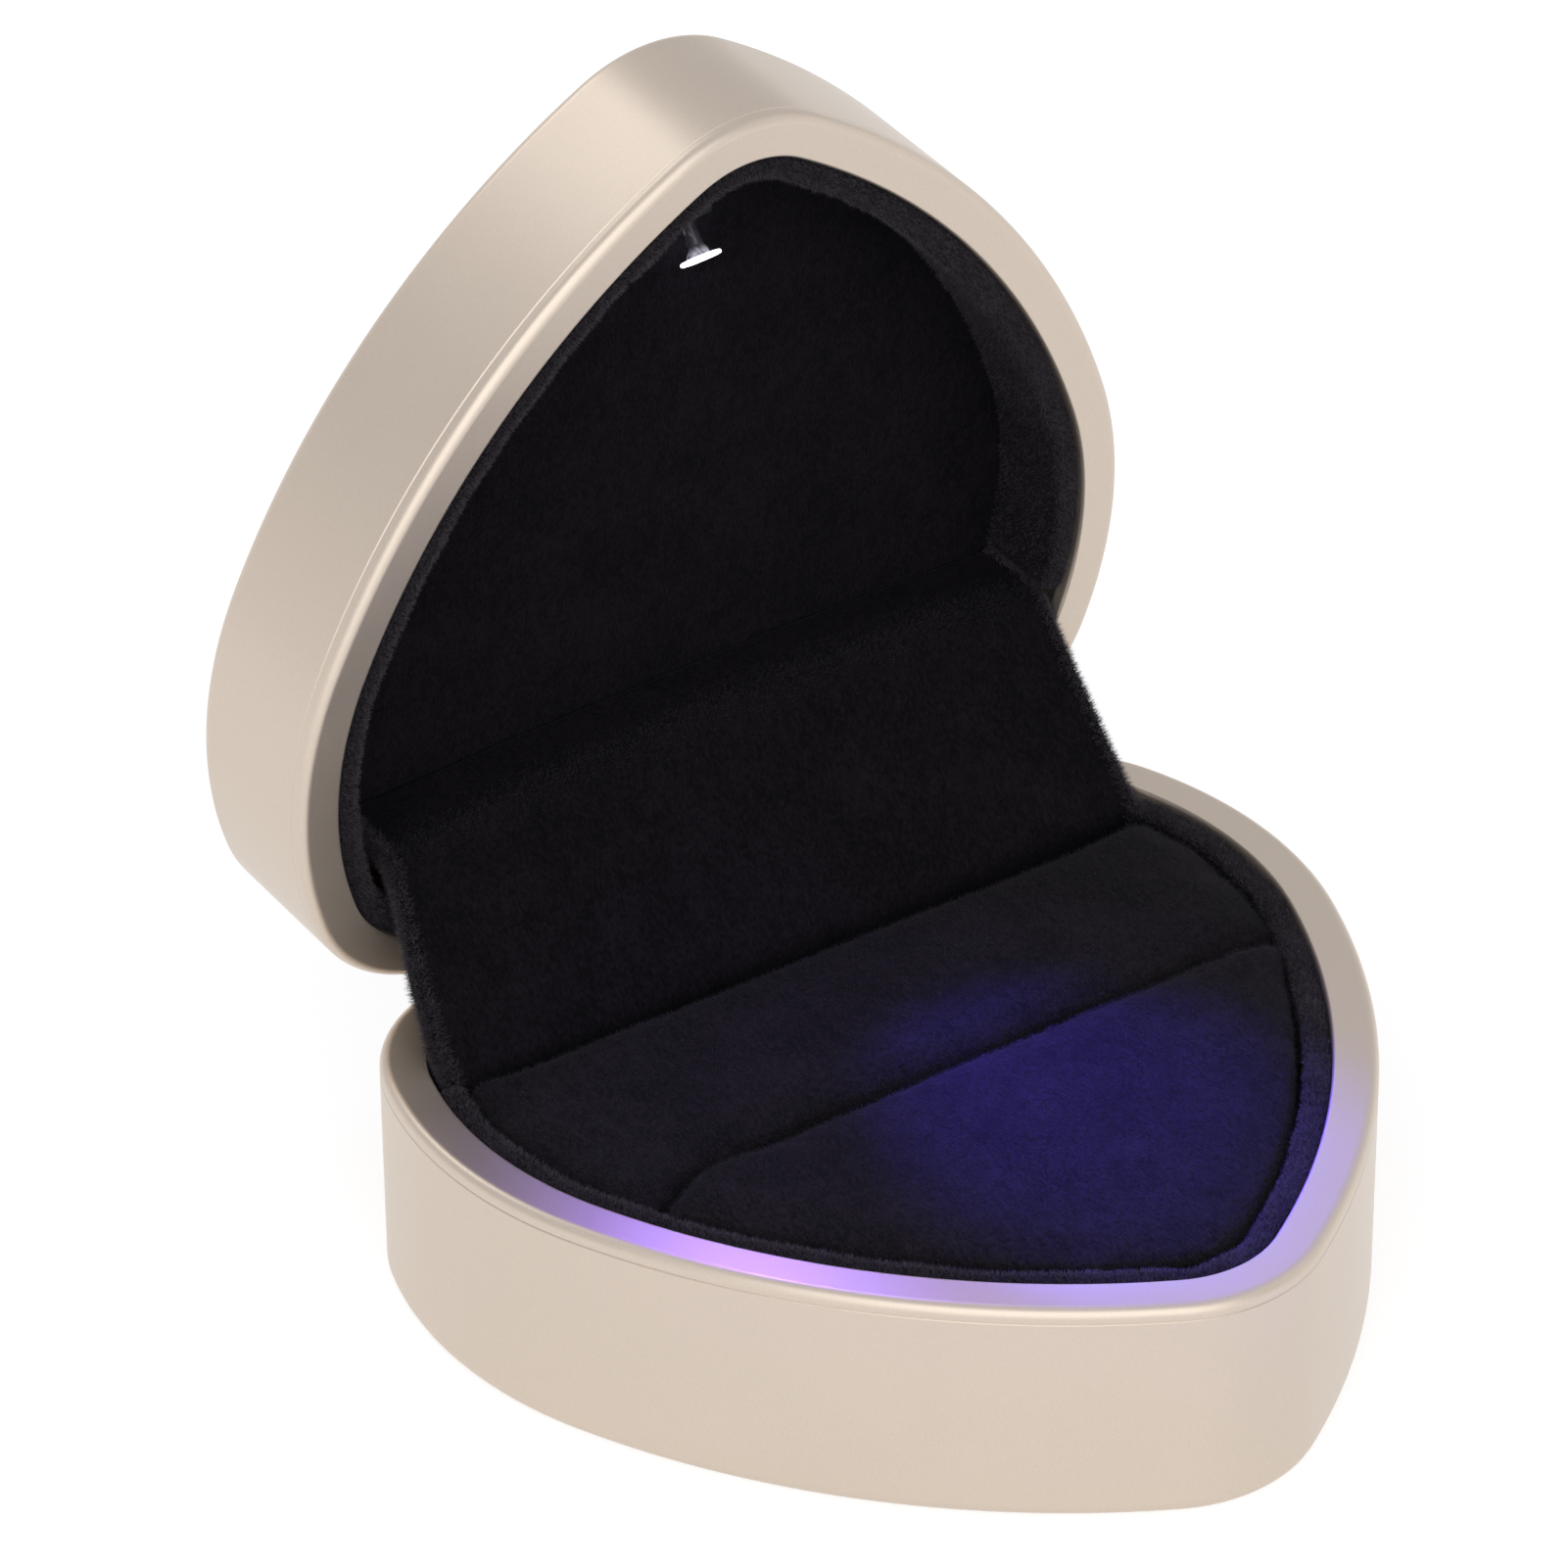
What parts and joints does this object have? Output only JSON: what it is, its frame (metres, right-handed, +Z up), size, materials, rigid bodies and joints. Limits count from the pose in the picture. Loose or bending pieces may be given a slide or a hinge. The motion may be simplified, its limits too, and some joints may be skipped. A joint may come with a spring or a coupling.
{
  "type": "ring box",
  "caption": "Hinged heart-shaped presentation box for a ring, velvet lined, with a slit cushion in the base and a small lamp in the lid.",
  "frame": {"origin": "centre of the base's footprint, on the surface the box stands on", "axes": "+Z up, +Y from the heart's tip at the front towards the hinge at the back, +X along the hinge; the lid stands open"},
  "size_m": [0.085, 0.0907, 0.0978],
  "materials": {
    "gold_lacquer": "satin champagne metallic lacquer",
    "velvet": "black plush velvet",
    "black_plastic": "matte moulded",
    "steel": "plated",
    "board_green": "solder mask",
    "lamp_white": "clear moulded lens, lit"
  },
  "bodies": {
    "base": {"base_shell": "gold_lacquer", "base_frame": "gold_lacquer", "base_liner": "velvet", "base_tray": "black_plastic", "ring_pad_front": "velvet", "ring_pad_rear": "velvet", "hinge_leaf_base": "steel", "hinge_pin": "steel", "hinge_screws_base": "steel", "snap_spring": "steel", "tray_screws": "steel", "hinge_flap": "velvet"},
    "lid": {"lid_shell": "gold_lacquer", "lid_frame": "gold_lacquer", "lid_liner": "velvet", "lid_panel": "velvet", "hinge_leaf_lid": "steel", "hinge_screws_lid": "steel", "circuit_board": "board_green", "cell_holder": "black_plastic", "coin_cell": "steel", "cell_clip": "steel", "resistor": "black_plastic", "switch_body": "black_plastic", "led_mount": "black_plastic", "led_leads": "steel", "led_lens": "lamp_white"},
    "switch_button": {"switch_plunger": "black_plastic"}
  },
  "joints": [
    {"name": "lid_hinge", "type": "hinge", "parent": "base", "child": "lid", "pos_m": [0, 0.03808, 0.02095], "axis": [1, 0, 0], "range_deg": [0, 84], "deforming": ["hinge_flap"]},
    {"name": "switch_press", "type": "slide", "parent": "lid", "child": "switch_button", "axis": [0, 0.9945, 0.1045], "range_m": [0, 0.0012], "stiffness_N_per_m": 150, "springref_m": -0.001}
  ]
}
